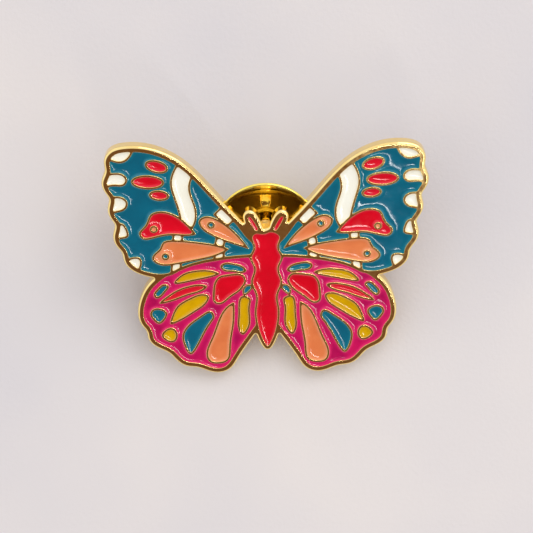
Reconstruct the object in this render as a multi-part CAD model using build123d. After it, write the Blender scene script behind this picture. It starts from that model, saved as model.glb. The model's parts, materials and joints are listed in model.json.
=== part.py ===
from build123d import *
import math
import os

# A butterfly brooch: a die-struck, gold-plated plate with soft-enamel fills, a post on its back, and a
# butterfly clutch pushed fully home on the post.
#
# The pieces are drawn in the plate's own frame and leaned back at the end.  In that frame the plate's
# back face is z = 0, the enamel faces +z, the antennae point along +y, and the post is on the z axis.
# The wings are drawn for x > 0 and mirrored.  All sizes are millimetres.

# Plate
PLATE_THICKNESS = 1.5
RIM_SHOULDER = 0.28  # how far the rounded rim stands outside the flat top of the border line
BORDER_LINE = 0.36  # width of the raised line along the outside of each wing
CELL_LINE = 0.24  # width of the raised line around each enamel cell
POCKET_DEPTH = 0.6
ENAMEL_RECESS = 0.16  # the enamel's surface lies this far below the tops of the lines
SAMPLE_STEP = 0.25  # between the points of an outline that follows another at a distance
SMALLEST_FILL = 0.12  # a ground patch smaller than this many square millimetres stays bare metal

# Post
POST_R = 0.55
POST_THIN_R = 0.53  # the shank is drawn a hair thinner towards the point
POST_HEAD_R = 1.5
POST_HEAD_THICKNESS = 0.35
POST_ROOT_END = 1.35  # depth behind the plate where the full-width root ends
NOTCH_R = 0.40
NOTCH_FROM = 4.7
NOTCH_TO = 5.0
NOTCH_SLOPE = 0.1
POINT_FROM = 5.15
POINT_R = 0.12
SOLDER_R = 1.95
SOLDER_HEIGHT = 0.24
SOLDER_WAIST = (0.16, 0.09)  # reach and height of the hollow in its side

# Clutch: depths are measured from the plate's back face, along the post
FLANGE_R = 5.75  # the standard 11.5 mm butterfly clutch
FLANGE_FRONT = 1.2
FLANGE_SHEET = 0.35
FLANGE_HOLE_R = 0.62
DISH_FLAT_R = 3.0
DISH_RIM_SLOPE = math.radians(34)
RIM_ROUND = 0.15
EYELET_R = 1.0
EYELET_FLARE_R = 1.35
EYELET_FLARE_SHEET = 0.24
HOUSING_LENGTH = 7.2  # across the two windows, along x
HOUSING_WIDTH = 5.4
HOUSING_SHEET = 0.35
HOUSING_CORNER = 1.3
HOUSING_FLOOR_SHEET = 0.3
HOUSING_END = 6.3
HOUSING_END_ROUND = 0.5
RUNNING_GAP = 0.04
WINDOW_WIDTH = 3.9
WINDOW_FROM = 3.25
WINDOW_TO = 4.25
JAW_SHEET = 0.28
JAW_WIDTH = 3.4
JAW_DEPTHS = (3.45, 3.77)  # where the left and the right leaf start; they lie one behind the other
JAW_TRAVEL = 0.55
JAW_SPARE = 0.15  # how much longer the slot is than the travel
JAW_GRIP_GAP = 0.02  # between a jaw's gripping edge and the shank
JAW_LEAF_END = 1.2  # how far a leaf reaches past the post
LUG_FACE = 2.62  # where the spring bears on a jaw's lug, from the post
LUG_TO = 5.2
WING_WIDTH = 4.6
WING_CORNER = 1.0
WING_PATH = [(4.15, 0), (4.75, 0.12), (5.35, 0.6), (5.85, 1.05), (6.35, 1.12)]  # reach, drop from the leaf
SPRING_WIRE_R = 0.16
SPRING_HALF_WIDTH = 2.0
SPRING_DEPTH = 4.75

POST_TIP = HOUSING_END - HOUSING_SHEET - RUNNING_GAP  # just clear of the inside of the closed end
DISH_WALL_R = (FLANGE_R - DISH_FLAT_R) / math.sin(DISH_RIM_SLOPE) - FLANGE_SHEET
DISH_FLOOR = FLANGE_FRONT + DISH_WALL_R * (1 - math.cos(DISH_RIM_SLOPE))
DISH_BACK = DISH_FLOOR + FLANGE_SHEET
HOUSING_FROM = DISH_BACK + RUNNING_GAP
CHAMBER_FROM = HOUSING_FROM + HOUSING_FLOOR_SHEET

# ---------------------------------------------------------------------------------------------------
# Outlines.  Each is the outer edge of the raised line around a region, so the enamel inside it is the
# outline drawn in by the line's width.  A later outline hides what it overlaps in an earlier one:
# the body lies over the forewing, and the forewing over the hindwing.
# ---------------------------------------------------------------------------------------------------

FOREWING_EDGE = [  # out along the leading edge and round the scalloped margin
    (0.5, -0.37), (1.2, 0.4), (2.6, 1.95), (4.45, 3.98), (6.75, 6.75), (9.3, 9.3), (12.4, 10.83),
    (15.2, 11.05), (16.55, 10.6), (17.12, 9.6), (17.05, 8.5), (17.48, 7.25), (17.2, 6.1), (16.75, 5.25),
    (16.93, 4.15), (16.75, 3.1), (16.25, 2.2), (16.47, 0.9), (16.25, -0.2), (15.62, -1.15), (15.4, -2.2),
    (14.6, -3.2), (13.2, -3.85), (11.7, -4.12), (10.3, -3.85),
]
FOREWING_ROOT = [(5.9, 5.8), (4.3, 3.35), (3.35, 2.15), (1.75, 0.0), (0.5, -1.2), (0.5, 6.0)]  # bare metal
FOREWING_TRAILING_EDGE = [
    (10.3, -3.85), (9.4, -3.35), (7.6, -2.7), (5.5, -2.28), (3.4, -2.03), (0.4, -1.88),
]
HINDWING_EDGE = [
    (8.5, -2.2), (11.5, -3.95), (13.1, -5.5), (13.85, -7.1), (14.1, -8.55), (13.8, -9.9), (13.22, -10.8),
    (13.05, -11.75), (12.2, -12.65), (10.9, -13.4), (10.1, -14.3), (9.1, -15.0), (7.85, -15.2),
    (6.75, -15.62), (5.5, -15.88), (4.45, -15.5), (3.55, -14.25), (2.65, -12.8), (1.5, -11.1), (0.7, -9.9),
]
HINDWING_ROOT = [(0.5, -9.0), (0.5, -1.0)]  # under the body
BODY_HALF_EDGE = [  # down the right side, between the middle of the head and the tip of the tail
    (1.2, 1.12), (1.7, 0.6), (1.42, -0.78), (1.84, -1.9), (1.4, -3.25), (1.75, -4.85), (1.24, -6.55),
    (1.37, -8.1), (1.34, -9.6), (1.1, -10.95), (0.62, -12.3),
]
BODY_HEAD_Y = 1.15
BODY_TAIL_Y = -13.1
ANTENNA_EDGE = [
    (0.4, 0.8), (0.6, 1.6), (0.88, 2.35), (1.25, 3.0), (1.72, 3.33), (2.14, 3.15), (2.2, 2.6), (1.98, 1.9),
    (1.62, 1.1), (1.5, 0.6),
]
ANTENNA_FILL_FROM, ANTENNA_FILL_TO, ANTENNA_FILL_WIDTH = (1.02, 1.4), (1.78, 2.78), 0.32

# Forewing cells
MARGIN_SPOTS = [
    [(14.1, 11.6), (14.35, 10.4), (14.8, 9.8), (15.5, 9.45), (16.4, 9.6), (17.6, 10.3)],
    [(18.2, 8.5), (16.7, 8.3), (15.35, 8.15), (14.92, 7.5), (15.25, 6.85), (16.7, 6.75), (18.2, 6.6)],
    [(18.0, 6.1), (16.4, 5.6), (15.5, 5.45), (14.97, 4.75), (15.3, 4.0), (16.6, 3.55), (18.0, 3.2)],
    [(17.6, 2.8), (16.3, 2.4), (15.6, 2.35), (15.15, 1.65), (15.05, 0.8), (16.2, 0.45), (17.6, 0.3)],
    [
        (16.5, -2.2), (15.2, -1.85), (14.45, -1.65), (13.8, -1.85), (13.68, -2.4), (13.95, -3.4),
        (14.2, -4.5),
    ],
]
RED_OVALS = [  # centre, half length, half width, tilt in degrees
    ((11.72, 8.98), 1.32, 0.76, 17),
    ((12.74, 7.18), 1.82, 0.84, 3),
    ((11.55, 5.6), 1.14, 0.64, 6),
]
BAND_OUTER_SIDE = [(8.9, 10.0), (9.9, 8.6), (10.33, 7.05), (10.0, 5.3), (9.5, 3.4), (9.35, 2.3)]
BAND_INNER_SIDE = [(8.05, 1.55), (7.66, 2.3), (7.5, 3.2), (7.65, 4.4), (8.15, 6.4), (7.95, 7.4), (7.0, 8.6)]
RED_DROP = [
    (7.6, 0.93), (9.05, 2.7), (10.3, 3.52), (11.6, 3.75), (12.6, 3.35), (12.98, 2.5), (13.4, 1.85),
    (13.92, 1.15), (13.6, 0.5), (12.3, 0.52), (10.4, 0.85), (8.8, 0.75),
]
UPPER_CORAL_DROP = [
    (1.85, -0.97), (2.9, 0.6), (4.15, 1.9), (5.4, 2.78), (6.55, 3.08), (7.32, 2.6), (7.15, 1.75),
    (6.15, 0.88), (4.8, 0.15), (3.2, -0.45),
]
LOWER_CORAL_DROP = [
    (4.02, -0.88), (5.4, -0.37), (7.9, 0.08), (10.3, 0.3), (11.35, 0.02), (11.68, -0.7), (12.2, -1.2),
    (12.58, -1.9), (11.95, -2.6), (10.3, -2.72), (7.8, -2.25), (5.4, -1.65),
]
EYES = [  # centre, and the colour of the dot
    ((12.25, 1.62), "coral"),
    ((6.0, 2.02), "teal"),
    ((11.08, -1.68), "teal"),
]
EYE_RING_R = 0.46
EYE_DOT_R = 0.25
WHITE_BARS = [  # centre, width across the lines, length, tilt in degrees
    ((4.5, 2.98), 1.4, 2.2, -45),
    ((9.68, 0.45), 1.2, 1.6, 4),
    ((5.05, -0.05), 1.15, 1.2, 12),
    ((5.2, -1.85), 1.2, 1.4, 8),
    ((9.95, -3.1), 1.2, 2.0, 6),
]

# Hindwing cells; the first point of each pointed one is its tip
YELLOW_PANES = {
    "upper": [
        (5.28, -3.7), (6.6, -3.33), (8.0, -3.4), (9.3, -3.82), (10.25, -4.92), (8.5, -4.78), (6.7, -4.4),
    ],
    "middle": [
        (10.62, -9.98), (9.5, -9.45), (7.8, -8.35), (6.55, -7.2), (6.42, -6.5), (7.0, -6.25), (8.3, -6.6),
        (9.65, -7.38), (10.48, -8.6),
    ],
    "by_body": [
        (2.1, -6.68), (2.95, -6.7), (3.18, -7.4), (3.25, -9.0), (3.17, -10.9), (2.8, -11.4), (2.2, -10.85),
        (1.86, -9.8), (1.84, -7.6),
    ],
    "dot": [(10.15, -10.75), (10.8, -10.35), (11.5, -10.72), (11.83, -11.3), (11.35, -11.98), (10.55, -12.2)],
}
RED_PANES = {
    "long": [
        (11.76, -7.42), (10.2, -7.02), (8.6, -6.4), (7.0, -5.82), (6.55, -5.35), (7.2, -5.1), (8.6, -5.25),
        (10.2, -5.88),
    ],
    "broad": [
        (2.28, -4.5), (2.62, -3.98), (4.2, -3.93), (5.3, -4.2), (5.85, -5.07), (5.98, -6.3), (5.84, -7.4),
        (5.3, -7.6), (4.1, -6.82), (2.95, -5.95), (2.4, -5.2),
    ],
}
TEAL_PANES = {
    "sliver": [
        (2.2, -3.4), (2.75, -2.85), (3.7, -2.57), (4.75, -2.57), (5.12, -2.95), (4.75, -3.5), (3.65, -3.67),
        (2.5, -3.77),
    ],
    "small": [
        (10.87, -5.15), (11.4, -4.98), (12.15, -5.6), (12.55, -6.35), (12.25, -6.76), (11.75, -6.6),
        (11.1, -5.85),
    ],
    "dot": [
        (13.02, -8.5), (12.7, -8.05), (11.6, -8.03), (11.08, -8.55), (11.3, -9.25), (12.05, -9.9),
        (12.75, -9.3),
    ],
    "long": [
        (5.9, -8.8), (6.3, -8.35), (7.3, -8.85), (8.65, -9.88), (9.47, -11.1), (9.38, -12.5), (8.63, -13.75),
        (7.85, -12.85), (7.0, -11.15), (6.1, -9.65),
    ],
}
LOZENGE = [(1.68, -5.25), (2.12, -5.2), (2.72, -6.05), (2.52, -6.55), (2.08, -6.3)]
LOZENGE_LINE = 0.2
CORAL_PANE = [
    (3.62, -7.3), (4.75, -8.15), (5.55, -9.75), (6.3, -11.8), (6.9, -13.85), (6.6, -14.65), (5.5, -14.95),
    (4.5, -14.6), (4.1, -12.8), (3.7, -10.0),
]


# ---------------------------------------------------------------------------------------------------
# Drawing
# ---------------------------------------------------------------------------------------------------


def inside(*runs):
    """The face inside runs of points.  Each run is one smooth curve, and a straight line closes the gap
    from its end to the next run's start."""
    edges = []
    for run, following in zip(runs, runs[1:] + runs[:1]):
        edges.append(Spline(*run))
        if run[-1] != following[0]:
            edges.append(Line(run[-1], following[0]))
    return make_face(edges)


def pebble(points):
    """A closed smooth cell with no corner."""
    return make_face(Spline(*points, periodic=True))


def leaf(points):
    """A closed smooth cell that comes to a point at its first point."""
    return make_face(Spline(*points, points[0]))


def oval(centre, half_length, half_width, tilt):
    return Pos(*centre) * Rot(0, 0, tilt) * Ellipse(half_length, half_width)


def bar(centre, width, length, tilt):
    return Pos(*centre) * Rot(0, 0, tilt) * Rectangle(width, length)


def samples(curve):
    """Evenly spaced places along a curve, each with the direction to the curve's left."""
    count = max(12, round(curve.length / SAMPLE_STEP))
    ends = 0 if curve.is_closed else 1
    for i in range(count):
        share = i / (count - ends)
        yield curve @ share, (curve % share).rotate(Axis.Z, 90)


def outline_moved(face, distance):
    """The face inside a smooth outline that keeps this distance outside a face's own outline, or inside
    it when the distance is negative."""
    outline = face.faces()[0].outer_wire()
    points = []
    for place, left in samples(outline):
        outward = left if not face.faces()[0].is_inside(place + left * 0.01) else -left
        point = place + outward * distance
        if outline.distance_to(point) > abs(distance) - 0.01:
            points.append(point)
    return make_face(Spline(*points, periodic=True))


def drawn_in(face, width):
    """What is left of a face inside a raised line of this width."""
    return outline_moved(face, -width)


def patches(face):
    """The separate patches of a face, without the slivers that the enamel would not have filled."""
    return [patch for patch in face.faces() if patch.area > SMALLEST_FILL]


# ---------------------------------------------------------------------------------------------------
# The right side's regions and enamel, as faces
# ---------------------------------------------------------------------------------------------------


def body_outline():
    left_half_edge = [(-x, y) for x, y in reversed(BODY_HALF_EDGE)]
    return pebble([(0, BODY_HEAD_Y), *BODY_HALF_EDGE, (0, BODY_TAIL_Y), *left_half_edge])


BODY = body_outline()
FOREWING = inside(FOREWING_EDGE, FOREWING_TRAILING_EDGE)
HINDWING = inside(HINDWING_EDGE, HINDWING_ROOT)
ANTENNA = inside(ANTENNA_EDGE)


def forewing_fills():
    """The forewing's enamel faces, by name."""
    field = drawn_in(FOREWING, BORDER_LINE) - [BODY, make_face(Polyline(*FOREWING_ROOT, close=True))]
    drops = [leaf(RED_DROP), leaf(UPPER_CORAL_DROP), leaf(LOWER_CORAL_DROP)]
    ovals = [oval(*shape) for shape in RED_OVALS]
    spots = [pebble(points) for points in MARGIN_SPOTS]
    band = inside(BAND_OUTER_SIDE, BAND_INNER_SIDE)
    bars = [bar(*shape) for shape in WHITE_BARS]
    rings = [Pos(*centre) * Circle(EYE_RING_R) for centre, _ in EYES]

    def cell(outline, *in_front):
        return (drawn_in(outline, CELL_LINE) & field) - list(in_front)

    fills = {
        "forewing_teal_ground": [field - (drops + ovals + spots + [band] + bars)],
        "forewing_white_margin_spots": [cell(spot) for spot in spots],
        "forewing_white_band": [cell(band, drops[0])],
        "forewing_white_bars": [cell(piece, *drops) for piece in bars],
        "forewing_red_ovals": [cell(piece) for piece in ovals],
        "forewing_red_drop": [cell(drops[0], *rings)],
        "forewing_coral_drops": [cell(drop, *rings) for drop in drops[1:]],
    }
    for colour in ("coral", "teal"):
        dots = [Pos(*centre) * Circle(EYE_DOT_R) for centre, dot_colour in EYES if dot_colour == colour]
        fills[f"forewing_{colour}_eyes"] = dots
    return fills


def hindwing_fills():
    """The hindwing's enamel faces, by name."""
    panes = {
        "hindwing_yellow_panes": [pebble(points) for points in YELLOW_PANES.values()],
        "hindwing_red_panes": [pebble(points) for points in RED_PANES.values()],
        "hindwing_teal_panes": [pebble(points) for points in TEAL_PANES.values()],
        "hindwing_coral_pane": [leaf(CORAL_PANE)],
    }
    fills = {name: [drawn_in(pane, CELL_LINE) for pane in group] for name, group in panes.items()}
    lozenge = pebble(LOZENGE)
    fills["hindwing_teal_panes"].append(drawn_in(lozenge, LOZENGE_LINE))
    in_front = [FOREWING, BODY, lozenge] + [pane for group in panes.values() for pane in group]
    fills["hindwing_pink_ground"] = [drawn_in(HINDWING, BORDER_LINE) - in_front]
    return fills


def antenna_fill():
    """A short rounded slit up the middle of the antenna."""
    foot, tip = Vector(*ANTENNA_FILL_FROM), Vector(*ANTENNA_FILL_TO)
    middle, run = (foot + tip) / 2, tip - foot
    tilt = math.degrees(math.atan2(run.Y, run.X))
    return Pos(middle.X, middle.Y) * Rot(0, 0, tilt) * SlotCenterToCenter(run.length, ANTENNA_FILL_WIDTH)


def side_fills():
    """Every enamel face on the right side, by name, as separate patches."""
    fills = {**forewing_fills(), **hindwing_fills(), "antenna_red_fill": [antenna_fill()]}
    return {name: [patch for face in faces for patch in patches(face)] for name, faces in fills.items()}


# ---------------------------------------------------------------------------------------------------
# The plate and its enamel, as solids
# ---------------------------------------------------------------------------------------------------


def slab(faces, low, high):
    """One solid for each face, from one height to another."""
    return [extrude(Pos(0, 0, low) * face, high - low, dir=(0, 0, 1)) for face in faces]


def mirrored(solids):
    return [mirror(solid, about=Plane.YZ) for solid in solids]


def plate_and_enamel():
    floor, surface = PLATE_THICKNESS - POCKET_DEPTH, PLATE_THICKNESS - ENAMEL_RECESS
    right_side = [outline_moved(face, RIM_SHOULDER) for face in (FOREWING, HINDWING, ANTENNA)]
    left_side = [mirror(face, about=Plane.YZ) for face in right_side]
    silhouette = outline_moved(BODY, RIM_SHOULDER) + right_side + left_side
    fills = side_fills()
    body_fill = patches(drawn_in(BODY, CELL_LINE))

    nodes = {"body_red_fill": slab(body_fill, floor, surface)}
    for name, faces in fills.items():
        solids = slab(faces, floor, surface)
        nodes[f"right_{name}"] = solids
        nodes[f"left_{name}"] = mirrored(solids)

    right_pockets = slab([face for faces in fills.values() for face in faces], floor, PLATE_THICKNESS + 1)
    pockets = right_pockets + mirrored(right_pockets) + slab(body_fill, floor, PLATE_THICKNESS + 1)
    plate = slab([silhouette], 0, PLATE_THICKNESS)[0]
    nodes["base_plate"] = [plate.cut(*pockets)]
    return nodes


# ---------------------------------------------------------------------------------------------------
# The post and the clutch.  A profile is drawn as (radius, depth) and turned about the post's axis.
# ---------------------------------------------------------------------------------------------------


def turned(*edges):
    """The solid made by turning a profile, whose depths run down from the plate's back."""
    profile = make_face([mirror(edge, about=Plane.XZ) for edge in edges])
    return revolve(Plane.XZ * profile, axis=Axis.Z)


def turned_polygon(*points):
    return turned(Polyline(*points, close=True))


def post():
    return turned_polygon(
        (0, 0), (POST_HEAD_R, 0), (POST_HEAD_R, POST_HEAD_THICKNESS), (POST_R, POST_HEAD_THICKNESS),
        (POST_R, POST_ROOT_END), (POST_THIN_R, NOTCH_FROM), (NOTCH_R, NOTCH_FROM + NOTCH_SLOPE),
        (NOTCH_R, NOTCH_TO), (POST_THIN_R, NOTCH_TO + NOTCH_SLOPE), (POST_THIN_R, POINT_FROM),
        (POINT_R, POST_TIP), (0, POST_TIP),
    )


def solder():
    """A hollow-sided ring of solder round the post's head."""
    reach, height = SOLDER_WAIST
    return turned_polygon(
        (POST_HEAD_R, 0), (SOLDER_R, 0), (POST_HEAD_R + reach, height), (POST_HEAD_R, SOLDER_HEIGHT)
    )


def dish_wall_end(radius):
    """Where an arc of this radius, level at the edge of the dish's flat, reaches the rim's slope."""
    centre_depth = DISH_FLOOR - DISH_WALL_R
    return (
        DISH_FLAT_R + radius * math.sin(DISH_RIM_SLOPE),
        centre_depth + radius * math.cos(DISH_RIM_SLOPE),
    )


def flange():
    """The dished disc that bears on the cloth, with the eyelet that carries the housing."""
    front_end = dish_wall_end(DISH_WALL_R)
    back_end = dish_wall_end(DISH_WALL_R + FLANGE_SHEET)
    flare_from = CHAMBER_FROM + RUNNING_GAP
    flare_to = flare_from + EYELET_FLARE_SHEET
    disc = turned(
        Line((FLANGE_HOLE_R, DISH_FLOOR), (DISH_FLAT_R, DISH_FLOOR)),
        TangentArc((DISH_FLAT_R, DISH_FLOOR), front_end, tangent=(1, 0)),
        Line(front_end, back_end),
        TangentArc((DISH_FLAT_R, DISH_BACK), back_end, tangent=(1, 0)),
        Polyline(
            (DISH_FLAT_R, DISH_BACK), (EYELET_R, DISH_BACK), (EYELET_R, flare_from),
            (EYELET_FLARE_R, flare_from), (EYELET_FLARE_R, flare_to), (FLANGE_HOLE_R, flare_to),
            (FLANGE_HOLE_R, DISH_FLOOR),
        ),
    )
    rim = disc.edges().filter_by(GeomType.CIRCLE).sort_by(SortBy.RADIUS)[-2:]
    return fillet(rim, RIM_ROUND)


def housing():
    """The drawn cap behind the flange: a closed chamber with a window at each end for the jaws."""
    outside = RectangleRounded(HOUSING_LENGTH, HOUSING_WIDTH, HOUSING_CORNER)
    cap = slab([outside], -HOUSING_END, -HOUSING_FROM)[0]
    cap = fillet(cap.edges().group_by(Axis.Z)[0], HOUSING_END_ROUND)
    chamber_shape = RectangleRounded(
        HOUSING_LENGTH - 2 * HOUSING_SHEET, HOUSING_WIDTH - 2 * HOUSING_SHEET, HOUSING_CORNER - HOUSING_SHEET
    )
    chamber = slab([chamber_shape], HOUSING_SHEET - HOUSING_END, -CHAMBER_FROM)[0]
    window_depth = (WINDOW_FROM + WINDOW_TO) / 2
    windows = Pos(0, 0, -window_depth) * Box(2 * HOUSING_LENGTH, WINDOW_WIDTH, WINDOW_TO - WINDOW_FROM)
    eyelet_hole = Pos(0, 0, -CHAMBER_FROM) * Cylinder(EYELET_R + RUNNING_GAP, 3 * HOUSING_FLOOR_SHEET)
    return cap - chamber - windows - eyelet_hole


def right_jaw(leaf_depth):
    """A leaf that grips the post with the far edge of its slot, a lug that the spring pushes outward,
    and a finger wing outside the housing."""
    leaf_low, leaf_high = -leaf_depth - JAW_SHEET, -leaf_depth
    grip_r = POST_R + JAW_GRIP_GAP
    slot_run = JAW_TRAVEL + JAW_SPARE
    wing_root = WING_PATH[0][0]
    leaf_outline = Pos((wing_root - JAW_LEAF_END) / 2, 0) * Rectangle(wing_root + JAW_LEAF_END, JAW_WIDTH)
    slot = Pos(slot_run / 2, 0) * SlotCenterToCenter(slot_run, 2 * grip_r)
    jaw = slab([leaf_outline - slot], leaf_low, leaf_high)[0]
    lug_height = LUG_TO - leaf_depth
    lug = Pos(LUG_FACE + JAW_SHEET / 2, 0, -leaf_depth - lug_height / 2) * Box(
        JAW_SHEET, WING_WIDTH / 2, lug_height
    )
    middle = -leaf_depth - JAW_SHEET / 2
    wing_line = Spline(*[(reach, middle - drop) for reach, drop in WING_PATH], tangents=[(1, 0), (1, 0)])
    upper = [place + left * JAW_SHEET / 2 for place, left in samples(wing_line)]
    lower = [place - left * JAW_SHEET / 2 for place, left in samples(wing_line)]
    wing_profile = inside(upper, lower[::-1])
    wing = extrude(Plane.XZ * wing_profile, WING_WIDTH / 2, both=True)
    wing_reach = WING_PATH[-1][0] - wing_root
    wing_plan = Pos(wing_root, 0) * RectangleRounded(2 * wing_reach, WING_WIDTH, WING_CORNER)
    wing = wing & slab([wing_plan], -HOUSING_END, 0)[0]
    return jaw + lug + wing


def spring():
    """An oval hoop of wire round the post, between the two lugs."""
    half_length = LUG_FACE - RUNNING_GAP - SPRING_WIRE_R
    hoop = Ellipse(half_length, SPRING_HALF_WIDTH).edge()
    section = Plane(origin=hoop @ 0, z_dir=hoop % 0) * Circle(SPRING_WIRE_R)
    return Pos(0, 0, -SPRING_DEPTH) * sweep(section, path=hoop)


def fastening():
    left_depth, right_depth = JAW_DEPTHS
    return {
        "pin_post": [post()],
        "solder_ring": [solder()],
        "clutch_flange": [flange()],
        "clutch_housing": [housing()],
        "clutch_spring": [spring()],
        "clutch_right_jaw": [right_jaw(right_depth)],
        "clutch_left_jaw": mirrored([right_jaw(left_depth)]),
    }


# ---------------------------------------------------------------------------------------------------
# The resting pose and the files
# ---------------------------------------------------------------------------------------------------


def lean_angle():
    """How far the brooch leans back when it lies on the tips of its hindwings and the housing's edge, in
    radians.  The line from the wing tips touches the round at the housing's lower edge."""
    wing_tip = -min(y for _, y in HINDWING_EDGE) + RIM_SHOULDER
    reach = wing_tip - HOUSING_WIDTH / 2 + HOUSING_END_ROUND
    drop = HOUSING_END - HOUSING_END_ROUND
    return math.atan2(drop, reach) + math.asin(HOUSING_END_ROUND / math.hypot(reach, drop))


def main():
    nodes = {**plate_and_enamel(), **fastening()}
    leaned = {
        name: [Rot(math.degrees(lean_angle()), 0, 0) * solid for solid in solids]
        for name, solids in nodes.items()
    }
    box = Compound(children=[solid for solids in leaned.values() for solid in solids]).bounding_box()
    to_floor = Pos(-box.center().X, -box.center().Y, -box.min.Z)
    os.makedirs("parts", exist_ok=True)
    for name, solids in leaned.items():
        separate = [part for solid in solids for part in solid.solids()]
        export_step(to_floor * Compound(separate), f"parts/{name}.step")


if __name__ == "__main__":
    main()
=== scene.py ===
import json
import math

import bmesh
import bpy
import numpy as np
from mathutils import Matrix, Vector
from mathutils.geometry import delaunay_2d_cdt
from mathutils.kdtree import KDTree


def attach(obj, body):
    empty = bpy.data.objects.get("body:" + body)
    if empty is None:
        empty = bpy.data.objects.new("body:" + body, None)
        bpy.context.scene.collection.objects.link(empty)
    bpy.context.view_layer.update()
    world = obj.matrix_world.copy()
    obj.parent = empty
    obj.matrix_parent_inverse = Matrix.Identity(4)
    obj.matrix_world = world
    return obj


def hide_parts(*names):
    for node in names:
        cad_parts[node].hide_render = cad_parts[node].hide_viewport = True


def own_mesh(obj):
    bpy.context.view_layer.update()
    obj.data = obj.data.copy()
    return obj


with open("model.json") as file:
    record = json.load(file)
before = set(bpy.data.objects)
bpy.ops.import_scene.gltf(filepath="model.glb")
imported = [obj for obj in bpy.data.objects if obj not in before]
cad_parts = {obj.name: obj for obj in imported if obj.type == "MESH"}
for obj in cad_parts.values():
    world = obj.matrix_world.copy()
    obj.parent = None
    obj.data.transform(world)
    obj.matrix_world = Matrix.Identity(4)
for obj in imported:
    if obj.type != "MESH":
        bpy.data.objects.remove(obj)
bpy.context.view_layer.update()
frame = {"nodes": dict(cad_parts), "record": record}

# The butterfly brooch's looks: polished gold lines with soft enamel between them, lying on its clutch.
#
# Shapes are worked out in the plate's own frame, in millimetres, and placed through PLATE at the end.
# In that frame the plate's back is z = 0, the enamel faces +z, the antennae point along +y and the
# post is on the z axis, so something at depth d behind the plate has z = -d.

WELD = 2e-6  # metres; vertices nearer than this are one vertex

# Plate and enamel, in millimetres
LEVEL_TOLERANCE = 0.005  # faces this near a node's highest point are its flat top
OUTLINE_STEP = 0.08  # between points along an outline
CORNER_TURN = 0.6  # an outline turning by more than this many radians at one point has a corner there
CORNER_SOFTENING = 5  # passes that round the corners off
LINE_ROUND = 0.04  # radius along both edges of every raised line
SHOULDER_WIDTH = 0.28  # the round between the flat top of the border and the plate's edge
SHOULDER_DROP = 0.34
BACK_ROUND = 0.12
POCKET_DEPTH = 0.55
ENAMEL_LEVEL = -0.22  # the middle of a wide cell, from the tops of the lines
ENAMEL_CLIMB = 0.13  # how far the enamel climbs where it meets a line
MENISCUS = 0.3  # the distance over which it settles again
SETTLING_PASSES = 160  # of the sum that gives the enamel its height
FINE_GRID = 0.09
COARSE_GRID = 0.32
ROW_STEP = 0.866  # between the rows of a triangular grid, as a share of its step
EDGE_BAND = 0.6  # the fine grid's width along each line
TUCK = 0.015  # how far the enamel's edge reaches into the metal, so that no gap shows

# Post and clutch, in millimetres: radii, and depths behind the plate's back, as in the model
POST_R, POST_HEAD_R, POST_HEAD = 0.55, 1.5, 0.35
POST_ROOT_END, POST_THIN_R = 1.35, 0.53
NOTCH_R, NOTCH_FROM, NOTCH_TO, NOTCH_SLOPE = 0.4, 4.7, 5.0, 0.1
POINT_FROM, POINT_R, POST_TIP = 5.15, 0.12, 5.91
SOLDER_R, SOLDER_HEIGHT = 1.95, 0.24
FLANGE_R, FLANGE_FRONT, FLANGE_SHEET, FLANGE_HOLE_R = 5.75, 1.2, 0.35, 0.62
DISH_FLAT_R, DISH_RIM_SLOPE = 3.0, math.radians(34)
EYELET_R, EYELET_FLARE_R, EYELET_FLARE_FROM, EYELET_FLARE_TO = 1.0, 1.35, 2.711, 2.951
TURN_STEPS = 128  # sides of a turned piece
SHEET_ROUND = 0.05  # radius along the edges of the clutch's sheet metal


# ---------------------------------------------------------------------------------------------------
# The plate's frame
# ---------------------------------------------------------------------------------------------------


def node_points(node):
    mesh = frame["nodes"][node].data
    points = np.empty(len(mesh.vertices) * 3)
    mesh.vertices.foreach_get("co", points)
    return points.reshape(-1, 3)


def plate_frame():
    """The matrix from the plate's frame, in millimetres, to the row frame, in metres."""
    post = next(mount for mount in frame["record"]["mounts"] if mount["name"] == "post")
    front = -Vector(post["axis"]).normalized()
    right = Vector((1, 0, 0))
    up = front.cross(right)
    place = Vector(post["pos_m"])
    back_level = min(node_points("base_plate") @ np.array(front))
    origin = place + front * (back_level - place.dot(front))
    turn = Matrix((right, up, front)).transposed().to_4x4()
    return Matrix.Translation(origin) @ turn @ Matrix.Scale(0.001, 4)


PLATE = plate_frame()
TO_PLATE = np.array(PLATE.inverted())
TO_ROW = np.array(PLATE)


def moved(points, matrix):
    return points @ matrix[:3, :3].T + matrix[:3, 3]


# ---------------------------------------------------------------------------------------------------
# Outlines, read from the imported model
# ---------------------------------------------------------------------------------------------------


def top_outlines(node):
    """The height of a node's flat top, and the closed outlines round it, with the solid on their left."""
    shape = bmesh.new()
    shape.from_mesh(frame["nodes"][node].data)
    bmesh.ops.remove_doubles(shape, verts=shape.verts, dist=WELD)
    shape.transform(PLATE.inverted())
    height = max(vert.co.z for vert in shape.verts)
    tops = {face for face in shape.faces if all(vert.co.z > height - LEVEL_TOLERANCE for vert in face.verts)}
    following = {}
    for face in tops:
        for corner in face.loops:
            if not any(other in tops for other in corner.edge.link_faces if other is not face):
                following.setdefault(corner.vert.index, []).append(corner.link_loop_next.vert.index)
    shape.verts.ensure_lookup_table()
    loops = []
    while following:
        start = here = min(following)
        loop = []
        while here != start or not loop:
            loop.append(shape.verts[here].co.xy)
            ends = following[here]
            end = ends.pop()
            if not ends:
                del following[here]
            here = end
        loops.append(np.array(loop))
    shape.free()
    return height, loops


def unit(vectors):
    return vectors / np.maximum(np.linalg.norm(vectors, axis=1, keepdims=True), 1e-9)


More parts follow.
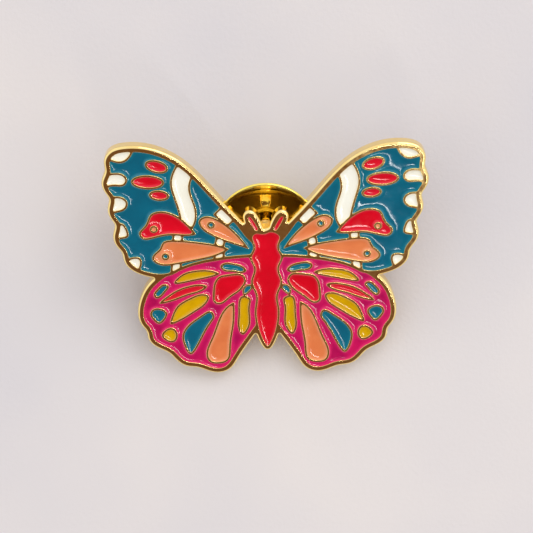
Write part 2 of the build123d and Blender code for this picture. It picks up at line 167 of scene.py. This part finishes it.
def curved(loop):
    """The smooth closed curve through a loop's points, with its corners kept, at even steps."""
    ahead = np.roll(loop, -1, axis=0) - loop
    behind = np.roll(ahead, 1, axis=0)
    run = np.linalg.norm(ahead, axis=1)
    last_run = np.roll(run, 1)
    turn = np.arccos(np.clip((unit(ahead) * unit(behind)).sum(axis=1), -1, 1))
    corner = (turn > CORNER_TURN)[:, None]
    tangent = unit(unit(ahead) * last_run[:, None] + unit(behind) * run[:, None])
    leaving = np.where(corner, unit(ahead), tangent)
    arriving = np.where(corner, unit(behind), tangent)
    pieces = []
    for i in range(len(loop)):
        j = (i + 1) % len(loop)
        count = max(1, round(run[i] / OUTLINE_STEP))
        t = (np.arange(count) / count)[:, None]
        pieces.append(
            (2 * t**3 - 3 * t**2 + 1) * loop[i]
            + (t**3 - 2 * t**2 + t) * leaving[i] * run[i]
            + (3 * t**2 - 2 * t**3) * loop[j]
            + (t**3 - t**2) * arriving[j] * run[i]
        )
    return np.vstack(pieces)


def evened(loop):
    """A closed curve's points moved to even steps along it."""
    closed = np.vstack([loop, loop[:1]])
    along = np.concatenate([[0], np.cumsum(np.linalg.norm(np.diff(closed, axis=0), axis=1))])
    count = max(10, round(along[-1] / OUTLINE_STEP))
    places = np.arange(count) * along[-1] / count
    return np.column_stack([np.interp(places, along, closed[:, axis]) for axis in (0, 1)])


def softened(loop):
    for _ in range(CORNER_SOFTENING):
        loop = loop / 2 + (np.roll(loop, 1, axis=0) + np.roll(loop, -1, axis=0)) / 4
    return loop


def outlines(node):
    height, loops = top_outlines(node)
    return height, [softened(evened(curved(loop))) for loop in loops]


def area(loop):
    x, y = loop.T
    return (x * np.roll(y, -1) - y * np.roll(x, -1)).sum() / 2


def to_left(loop):
    """The direction to a loop's left at each of its points."""
    along = unit(np.roll(loop, -1, axis=0) - np.roll(loop, 1, axis=0))
    return np.column_stack([-along[:, 1], along[:, 0]])


# ---------------------------------------------------------------------------------------------------
# Meshes
# ---------------------------------------------------------------------------------------------------


def filled(loops, extra=()):
    """Triangles over the region that an odd number of the loops go round: (points, triangles, whether each
    point is on a loop)."""
    points, rings = [], []
    for loop in loops:
        start = len(points)
        rings += [(start + i, start + (i + 1) % len(loop)) for i in range(len(loop))]
        points += [Vector(point) for point in loop]
    on_loops = len(points)
    points += [Vector(point) for point in extra]
    places, edges, triangles, origins, edge_origins, _ = delaunay_2d_cdt(points, rings, [], 0, 1e-6)
    fences = {frozenset(edge) for edge, sources in zip(edges, edge_origins) if len(sources) % 2}
    beside = {}
    for i, (a, b, c) in enumerate(triangles):
        for side in (frozenset((a, b)), frozenset((b, c)), frozenset((c, a))):
            beside.setdefault(side, []).append(i)
    inside = {}
    waiting = [(owners[0], side in fences) for side, owners in beside.items() if len(owners) == 1]
    while waiting:
        i, is_inside = waiting.pop()
        if i in inside:
            continue
        inside[i] = is_inside
        a, b, c = triangles[i]
        for side in (frozenset((a, b)), frozenset((b, c)), frozenset((c, a))):
            waiting += [(j, is_inside ^ (side in fences)) for j in beside[side] if j not in inside]
    kept = [triangle for i, triangle in enumerate(triangles) if inside[i]]
    on_loop = np.array([not sources or min(sources) < on_loops for sources in origins])
    return np.array([tuple(place) for place in places]), kept, on_loop


class Skin:
    """Points, faces and directions, gathered into one mesh."""

    def __init__(self):
        self.points, self.faces, self.normals, self.nearness, self.count = [], [], [], [], 0

    def add(self, points, faces, normals=None, nearness=None):
        """Faces are in terms of these points.  With no normals the points are left to smooth shading.
        The nearness to a metal line, from 0 to 1, is what the enamel's colour depends on."""
        self.faces += [[i + self.count for i in face] for face in faces]
        self.points.append(points)
        self.normals.append(np.zeros_like(points) if normals is None else normals)
        self.nearness.append(np.ones(len(points)) if nearness is None else nearness)
        self.count += len(points)

    def flat(self, loops, height, facing, extra=()):
        """A level face inside the loops."""
        places, triangles, _ = filled(loops, extra)
        points = np.column_stack([places, np.full(len(places), height)])
        wound = [triangle if facing > 0 else triangle[::-1] for triangle in triangles]
        self.add(points, wound, np.tile([0, 0, facing], (len(points), 1)))

    def wall(self, loop, profile, outward):
        """A strip round a loop.  The profile is [(distance to the loop's left, height, lean of the
        surface from level in radians)], and outward is 1 or -1, for the side that the strip faces."""
        left = to_left(loop)
        count = len(loop)
        points, normals = [], []
        for distance, height, lean in profile:
            points.append(np.column_stack([loop + left * distance, np.full(count, height)]))
            upright = np.full(count, math.cos(lean))
            normals.append(np.column_stack([left * math.sin(lean) * outward, upright]))
        faces = []
        for ring in range(len(profile) - 1):
            for i in range(count):
                j = (i + 1) % count
                face = [ring * count + i, ring * count + j, (ring + 1) * count + j, (ring + 1) * count + i]
                faces.append(face if outward > 0 else face[::-1])
        self.add(np.vstack(points), faces, np.vstack(normals))

    def build(self, name):
        points = moved(np.vstack(self.points), TO_ROW)
        mesh = bpy.data.meshes.new(name)
        mesh.from_pydata([tuple(point) for point in points], [], self.faces)
        mesh.shade_smooth()
        normals = unit(np.vstack(self.normals) @ TO_ROW[:3, :3].T * 1000)
        mesh.normals_split_custom_set_from_vertices([tuple(normal) for normal in normals])
        nearness = mesh.attributes.new("nearness", "FLOAT", "POINT")
        nearness.data.foreach_set("value", np.hstack(self.nearness))
        mesh.update()
        piece = bpy.data.objects.new(name, mesh)
        bpy.context.collection.objects.link(piece)
        return piece


# ---------------------------------------------------------------------------------------------------
# The plate
# ---------------------------------------------------------------------------------------------------


def quarter_round(width, height, steps):
    """(distance in, distance down, lean) from the flat at the top to the wall at the outside."""
    angles = [math.pi / 2 * step / steps for step in range(steps + 1)]
    return [(width * (1 - math.sin(a)), height * (1 - math.cos(a)), a) for a in angles]


def plate_skin():
    """The struck metal: flat-topped lines with round edges, pockets, a round shoulder and a flat back."""
    top, loops = outlines("base_plate")
    edge = max(loops, key=lambda loop: abs(area(loop)))
    skin = Skin()
    shoulder = quarter_round(SHOULDER_WIDTH, SHOULDER_DROP, 6)
    heel = quarter_round(BACK_ROUND, BACK_ROUND, 4)[::-1]
    brow = [(inward, top - drop, lean) for inward, drop, lean in shoulder]
    foot = [(inward, drop, math.pi - lean) for inward, drop, lean in heel]
    skin.wall(edge, brow + foot, -1)
    left = to_left(edge)
    tops = [edge + left * SHOULDER_WIDTH]
    skin.flat([edge + left * BACK_ROUND], 0, -1)
    lip = [(inward, top - drop, lean) for inward, drop, lean in quarter_round(LINE_ROUND, LINE_ROUND, 3)]
    for loop in loops:
        if loop is edge:
            continue
        skin.wall(loop, lip + [(0, top - POCKET_DEPTH, math.pi / 2)], -1)
        tops.append(loop + to_left(loop) * LINE_ROUND)
    skin.flat(tops, top, 1)
    return top, skin


# ---------------------------------------------------------------------------------------------------
# The post and the clutch's disc
# ---------------------------------------------------------------------------------------------------


def rounded_profile(corners):
    """The outline of a turned piece, from its corners as (radius, depth, roundness) in the order that
    runs outward along the front, back inward along the rear and forward along the bore."""
    places = np.array([(radius, -depth) for radius, depth, _ in corners])
    profile = []
    for i, (_, _, roundness) in enumerate(corners):
        arriving = unit(places[[i]] - places[[i - 1]])[0]
        leaving = unit(places[[(i + 1) % len(corners)]] - places[[i]])[0]
        turn = math.atan2(leaving[0] * arriving[1] - leaving[1] * arriving[0], arriving @ leaving)
        lean = math.atan2(-arriving[1], arriving[0])
        start = places[i] - arriving * roundness * math.tan(abs(turn) / 2)
        steps = max(1, round(abs(turn) / math.radians(12)))
        side = math.copysign(roundness, turn)
        centre = start - np.array((math.sin(lean), math.cos(lean))) * side
        for step in range(steps + 1):
            angle = lean + turn * step / steps
            radius, height = centre + np.array((math.sin(angle), math.cos(angle))) * side
            profile.append((max(radius, 0.0), height, angle))
    return profile


def turned_skin(corners):
    """A closed surface turned about the post's axis."""
    angles = np.arange(TURN_STEPS) * 2 * math.pi / TURN_STEPS
    circle = np.column_stack([np.cos(angles), np.sin(angles)])
    profile = [(1 - radius, height, lean) for radius, height, lean in rounded_profile(corners)]
    skin = Skin()
    skin.wall(circle, profile + profile[:1], -1)
    return skin


def post_skin():
    return turned_skin([
        (0.02, 0, 0), (POST_HEAD_R, 0, 0.02), (POST_HEAD_R, POST_HEAD, 0.08), (POST_R, POST_HEAD, 0.1),
        (POST_R, POST_ROOT_END, 0.5), (POST_THIN_R, NOTCH_FROM, 0.03),
        (NOTCH_R, NOTCH_FROM + NOTCH_SLOPE, 0.03), (NOTCH_R, NOTCH_TO, 0.03),
        (POST_THIN_R, NOTCH_TO + NOTCH_SLOPE, 0.03), (POST_THIN_R, POINT_FROM, 0.1),
        (POINT_R, POST_TIP, 0.06), (0.02, POST_TIP, 0),
    ])


def solder_skin():
    return turned_skin([
        (POST_HEAD_R, 0.005, 0), (SOLDER_R, 0.005, 0.01), (POST_HEAD_R + 0.16, 0.09, 0.15),
        (POST_HEAD_R + 0.01, SOLDER_HEIGHT, 0.01),
    ])


def flange_skin():
    """The dished disc with its turned lip, and the eyelet that carries the housing."""
    wall_r = (FLANGE_R - DISH_FLAT_R) / math.sin(DISH_RIM_SLOPE) - FLANGE_SHEET
    floor = FLANGE_FRONT + wall_r * (1 - math.cos(DISH_RIM_SLOPE))
    back, reach = floor + FLANGE_SHEET, math.tan(DISH_RIM_SLOPE / 2)
    centre = floor - wall_r
    lip = [
        (DISH_FLAT_R + r * math.sin(DISH_RIM_SLOPE), centre + r * math.cos(DISH_RIM_SLOPE), 0.13)
        for r in (wall_r, wall_r + FLANGE_SHEET)
    ]
    return turned_skin([
        (FLANGE_HOLE_R, floor, 0.12), (DISH_FLAT_R + wall_r * reach, floor, wall_r * 0.98), *lip,
        (DISH_FLAT_R + (wall_r + FLANGE_SHEET) * reach, back, wall_r), (EYELET_R, back, 0.02),
        (EYELET_R, EYELET_FLARE_FROM, 0.02), (EYELET_FLARE_R, EYELET_FLARE_FROM, 0.04),
        (EYELET_FLARE_R, EYELET_FLARE_TO, 0.1), (FLANGE_HOLE_R, EYELET_FLARE_TO, 0.1),
    ])


# ---------------------------------------------------------------------------------------------------
# The enamel
# ---------------------------------------------------------------------------------------------------


def beside(loops):
    """A search tree of the loops' points, with the direction to each one's left."""
    places, lefts = np.vstack(loops), np.vstack([to_left(loop) for loop in loops])
    tree = KDTree(len(places))
    for i, (x, y) in enumerate(places):
        tree.insert((x, y, 0), i)
    tree.balance()
    return tree, places, lefts


def grid_inside(loops, step, nearest, farthest):
    """Points of a triangular grid inside the loops, between two distances from them."""
    tree, places, lefts = beside(loops)
    low, high = places.min(axis=0), places.max(axis=0)
    found = []
    for row in range(int((high[1] - low[1]) / (step * ROW_STEP)) + 1):
        y = low[1] + row * step * ROW_STEP
        for column in range(int((high[0] - low[0]) / step) + 1):
            x = low[0] + (column + row % 2 / 2) * step
            _, i, distance = tree.find((x, y, 0))
            if nearest < distance <= farthest and (np.array((x, y)) - places[i]) @ lefts[i] > 0:
                found.append((x, y))
    return found


def meniscus(points, triangles, on_loop):
    """Heights above the level of the enamel, settling away from the lines as a liquid's surface does."""
    corners = np.array(triangles)
    a = corners.ravel()
    b = np.roll(corners, 1, axis=1).ravel()
    starts, ends = np.concatenate([a, b]), np.concatenate([b, a])
    runs = np.linalg.norm(points[starts] - points[ends], axis=1)
    neighbours = np.maximum(np.bincount(starts, minlength=len(points)), 1)
    step = np.bincount(starts, runs, len(points)) / neighbours
    pull = 1 / (1 + step**2 / (4 * MENISCUS**2))
    height = np.where(on_loop, ENAMEL_CLIMB, 0.0)
    for _ in range(SETTLING_PASSES):
        mean = np.bincount(starts, height[ends], len(points)) / neighbours
        height = np.where(on_loop, ENAMEL_CLIMB, mean * pull)
    return height


def enamel_skin(node, top):
    """The enamel in one colour's cells on one wing."""
    _, loops = outlines(node)
    loops = [loop - to_left(loop) * TUCK for loop in loops]
    grid = grid_inside(loops, FINE_GRID, FINE_GRID * 0.6, EDGE_BAND)
    grid += grid_inside(loops, COARSE_GRID, EDGE_BAND, math.inf)
    places, triangles, on_loop = filled(loops, grid)
    climb = meniscus(places, triangles, on_loop)
    skin = Skin()
    surface = np.column_stack([places, top + ENAMEL_LEVEL + climb])
    skin.add(surface, triangles, nearness=climb / ENAMEL_CLIMB)
    floor = top - POCKET_DEPTH
    for loop in loops:
        skin.wall(loop, [(0, top + ENAMEL_LEVEL + ENAMEL_CLIMB, math.pi / 2), (0, floor, math.pi / 2)], -1)
    skin.flat(loops, floor, -1)
    return skin


# ---------------------------------------------------------------------------------------------------
# Materials
# ---------------------------------------------------------------------------------------------------


def linear(colour):
    """An sRGB colour from 0 to 255, as the shader wants it."""
    return tuple((c / 255 / 12.92) if c < 10 else ((c / 255 + 0.055) / 1.055) ** 2.4 for c in colour)


class Nodes:
    """A short way to write a node tree."""

    def __init__(self, name):
        self.material = bpy.data.materials.new(name)
        self.material.use_nodes = True
        self.tree = self.material.node_tree
        self.shader = next(node for node in self.tree.nodes if node.type == "BSDF_PRINCIPLED")
        self.place = self.add("ShaderNodeTexCoord").outputs["Object"]

    def add(self, kind):
        return self.tree.nodes.new(kind)

    def link(self, output, socket):
        self.tree.links.new(output, socket)

    def noise(self, size_mm, detail=2.0):
        """Noise with features of about this size, from 0 to 1."""
        node = self.add("ShaderNodeTexNoise")
        self.link(self.place, node.inputs["Vector"])
        node.inputs["Scale"].default_value = 1000 / size_mm
        node.inputs["Detail"].default_value = detail
        return node.outputs["Fac"]

    def ramp(self, source, low, high, start=0.3, end=0.7):
        """From one colour or grey to another, as the source rises from start to end."""
        node = self.add("ShaderNodeValToRGB")
        self.link(source, node.inputs["Fac"])
        for element, place, colour in zip(node.color_ramp.elements, (start, end), (low, high)):
            element.position = place
            element.color = (*colour, 1) if isinstance(colour, tuple) else (colour, colour, colour, 1)
        return node.outputs["Color"]

    def mix(self, share, colour, other):
        """A colour, with this share of another one."""
        node = self.add("ShaderNodeMixRGB")
        self.link(share, node.inputs["Fac"])
        self.link(colour, node.inputs["Color1"])
        node.inputs["Color2"].default_value = (*other, 1)
        return node.outputs["Color"]

    def bump(self, source, height_um, under=None):
        """A bump of this many micrometres, over another one."""
        node = self.add("ShaderNodeBump")
        node.inputs["Distance"].default_value = height_um * 1e-6
        self.link(source, node.inputs["Height"])
        if under:
            self.link(under, node.inputs["Normal"])
        return node.outputs["Normal"]

    def colour(self, source):
        self.link(source, self.shader.inputs["Base Color"])

    def roughness(self, source):
        self.link(source, self.shader.inputs["Roughness"])

    def surface(self, source):
        self.link(source, self.shader.inputs["Normal"])


def enamel(name, colour, deep, thin):
    """Soft enamel: pigmented resin with a glossy skin, a little uneven in colour and level, and paler
    where it runs out thin against the metal."""
    nodes = Nodes(name)
    body = nodes.ramp(nodes.noise(2.2, 3), linear(deep), linear(colour))
    nearness = nodes.add("ShaderNodeAttribute")
    nearness.attribute_name = "nearness"
    nodes.colour(nodes.mix(nodes.ramp(nearness.outputs["Fac"], 0.0, 1.0, 0.3, 0.9), body, linear(thin)))
    nodes.roughness(nodes.ramp(nodes.noise(0.6), 0.06, 0.13))
    waves = nodes.bump(nodes.noise(1.5, 1), 10)
    nodes.surface(nodes.bump(nodes.noise(0.1, 3), 0.5, waves))
    nodes.shader.inputs["IOR"].default_value = 1.52
    return nodes.material


def gold(name, colour, dark, rough, wave_um):
    """Polished gold plate, with the faint waves and hair scratches of tumbling."""
    nodes = Nodes(name)
    nodes.colour(nodes.ramp(nodes.noise(1.3, 4), dark, colour))
    nodes.roughness(nodes.ramp(nodes.noise(0.4, 4), rough * 0.7, rough * 1.4))
    waves = nodes.bump(nodes.noise(1.1), wave_um)
    nodes.surface(nodes.bump(nodes.noise(0.08, 3), 0.25, waves))
    nodes.shader.inputs["Metallic"].default_value = 1
    return nodes.material


def blasted_gold_painted_shade():
    """The plate's back, left with the fine matt grain of the die, in a darker gold than the front: the
    darkness is painted shade, so that the dish reflects the back as dark as the shaded gap behind the plate.
    """
    nodes = Nodes("blasted_gold_painted_shade")
    # Painted shade: these golds are darker than the front's so that the dish's reflection of the back reads
    # dark.
    nodes.colour(nodes.ramp(nodes.noise(1.6, 4), (0.66, 0.43, 0.14), (0.78, 0.53, 0.19)))
    nodes.roughness(nodes.ramp(nodes.noise(0.5, 4), 0.34, 0.5))
    grain = nodes.bump(nodes.noise(0.16, 2), 16)
    nodes.surface(nodes.bump(nodes.noise(0.05, 2), 4, grain))
    nodes.shader.inputs["Metallic"].default_value = 1
    return nodes.material


MATERIALS = {
    "plate_gold": gold("plate_gold", (1.0, 0.78, 0.34), (0.96, 0.7, 0.26), 0.08, 2),
    "post_gold": gold("post_gold", (1.0, 0.76, 0.3), (0.94, 0.67, 0.22), 0.14, 2),
    "solder": gold("solder", (0.92, 0.66, 0.26), (0.76, 0.5, 0.18), 0.32, 14),
    "clutch_gold": gold("clutch_gold", (1.0, 0.82, 0.2), (0.99, 0.76, 0.14), 0.06, 5),
    "spring_wire": gold("spring_wire", (0.9, 0.68, 0.3), (0.78, 0.55, 0.22), 0.22, 1),
    "red_enamel": enamel("red_enamel", (228, 4, 36), (212, 2, 30), (226, 30, 54)),
    "coral_enamel": enamel("coral_enamel", (238, 136, 82), (226, 120, 70), (242, 154, 108)),
    "white_enamel": enamel("white_enamel", (255, 254, 242), (255, 251, 234), (252, 247, 228)),
    "teal_enamel": enamel("teal_enamel", (0, 104, 130), (0, 94, 119), (8, 120, 140)),
    "yellow_enamel": enamel("yellow_enamel", (230, 178, 2), (206, 154, 0), (214, 166, 6)),
    "pink_enamel": enamel("pink_enamel", (210, 16, 92), (166, 6, 80), (228, 36, 108)),
}


# ---------------------------------------------------------------------------------------------------
# The pieces
# ---------------------------------------------------------------------------------------------------

SLOT_OF = {part["node"]: part["material_slot"] for part in frame["record"]["subparts"]}
BODY_OF = {node: body for body, nodes in frame["record"]["behaviour"]["bodies"].items() for node in nodes}


def stand_in(skin, node):
    """Puts a finished skin in the place of a CAD node."""
    piece = skin.build(node + "_look")
    piece.data.materials.append(MATERIALS[SLOT_OF[node]])
    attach(piece, BODY_OF[node])
    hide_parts(node)
    return piece


def blast_back(plate):
    """Gives the faces at the plate's back their own finish: matt grain, and a darker gold that is painted
    shade.
    """
    plate.data.materials.append(blasted_gold_painted_shade())
    front = PLATE.to_3x3().col[2].normalized()
    level = BACK_ROUND / 2000
    for face in plate.data.polygons:
        if (face.center - PLATE.translation).dot(front) < level and face.normal.dot(front) < -0.9:
            face.material_index = 1


def finish_sheet(node):
    """Keeps a sheet-metal node's shape, gives it its material and rounds its edges."""
    thing = frame["nodes"][node]
    thing.data.materials.clear()
    thing.data.materials.append(MATERIALS[SLOT_OF[node]])
    weld = thing.modifiers.new("weld", "WELD")
    weld.merge_threshold = WELD
    edges = thing.modifiers.new("edges", "BEVEL")
    edges.width = SHEET_ROUND / 1000
    edges.segments = 3
    edges.angle_limit = math.radians(35)
    edges.harden_normals = True
    thing.data.shade_smooth()


def spring():
    """The wire hoop, on its own copy of the model's mesh."""
    node = "clutch_spring"
    model = frame["nodes"][node]
    mesh = model.data.copy()
    mesh.transform(model.matrix_world)
    mesh.shade_smooth()
    mesh.materials.clear()
    mesh.materials.append(MATERIALS[SLOT_OF[node]])
    hoop = bpy.data.objects.new(node + "_look", mesh)
    bpy.context.collection.objects.link(hoop)
    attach(hoop, BODY_OF[node])
    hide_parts(node)
    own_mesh(hoop)


line_top, plate = plate_skin()
blast_back(stand_in(plate, "base_plate"))
stand_in(post_skin(), "pin_post")
stand_in(solder_skin(), "solder_ring")
stand_in(flange_skin(), "clutch_flange")
for node in ("clutch_housing", "clutch_left_jaw", "clutch_right_jaw"):
    finish_sheet(node)
spring()
for node in frame["nodes"]:
    if SLOT_OF[node].endswith("_enamel"):
        stand_in(enamel_skin(node, line_top), node)


# ---------------------------------------------------------------------------------------------------
# Floor, light and camera
# ---------------------------------------------------------------------------------------------------

PERSON = (0, -0.78, 0.62)  # the direction that the flat tops of the lines reflect to the camera
PERSON_SPREAD = math.radians(36)
PERSON_CORE = 0.6  # the share of the spread that is fully dark
PERSON_COLOUR = (0.15, 0.075, 0.04)
ROOM_COLOUR = (0.96, 0.98, 1.0)
ROOM_STRENGTH = 1.06


def floor():
    bpy.ops.mesh.primitive_plane_add(size=4, location=(0, 0, 0))
    thing = bpy.context.object
    thing.name = "floor"
    nodes = Nodes("paper")
    nodes.colour(nodes.ramp(nodes.noise(45, 3), linear((204, 199, 203)), linear((220, 212, 209))))
    nodes.shader.inputs["Roughness"].default_value = 0.8
    nodes.surface(nodes.bump(nodes.noise(0.5, 4), 30))
    thing.data.materials.append(nodes.material)


def softbox(name, place, size, radiance, colour, long_side=(1, 0, 0)):
    """A flat light that faces the brooch.  Its first size runs along its long side."""
    light = bpy.data.lights.new(name, "AREA")
    light.shape = "RECTANGLE"
    light.size, light.size_y = size
    light.energy = radiance * math.pi * size[0] * size[1]
    light.color = colour
    away = Vector(place).normalized()
    along = (Vector(long_side) - away * away.dot(long_side)).normalized()
    thing = bpy.data.objects.new(name, light)
    turn = Matrix((along, away.cross(along), away)).transposed().to_4x4()
    thing.matrix_world = Matrix.Translation(place) @ turn
    bpy.context.collection.objects.link(thing)


def studio():
    """A bright room, dark where the person who holds the camera stands."""
    world = bpy.data.worlds.new("studio")
    world.use_nodes = True
    bpy.context.scene.world = world
    tree = world.node_tree
    toward = tree.nodes.new("ShaderNodeVectorMath")
    toward.operation = "DOT_PRODUCT"
    tree.links.new(tree.nodes.new("ShaderNodeTexCoord").outputs["Generated"], toward.inputs[0])
    toward.inputs[1].default_value = PERSON
    ramp = tree.nodes.new("ShaderNodeValToRGB")
    tree.links.new(toward.outputs["Value"], ramp.inputs["Fac"])
    ends = ramp.color_ramp.elements
    ends[0].position, ends[0].color = math.cos(PERSON_SPREAD), (*ROOM_COLOUR, 1)
    ends[1].position, ends[1].color = math.cos(PERSON_SPREAD * PERSON_CORE), (*PERSON_COLOUR, 1)
    background = tree.nodes["Background"]
    tree.links.new(ramp.outputs["Color"], background.inputs["Color"])
    background.inputs["Strength"].default_value = ROOM_STRENGTH


def camera():
    data = bpy.data.cameras.new("camera")
    data.sensor_width = 36
    data.lens = 156.5
    thing = bpy.data.objects.new("camera", data)
    bpy.context.collection.objects.link(thing)
    thing.location = (0, -0.0009, 0.262)
    thing.rotation_euler = (0, 0, math.radians(-0.9))
    bpy.context.scene.camera = thing


floor()
studio()
softbox("lamp", (0.06, -0.3275, 0.3725), (0.16, 0.014), 22, (1, 0.99, 0.97), (-0.205, 0.157, 0.174))
softbox("window", (0.3, 0.4, 0.5), (0.55, 0.4), 2.4, (1, 0.97, 0.92))
camera()
bpy.context.scene.view_settings.view_transform = "Standard"
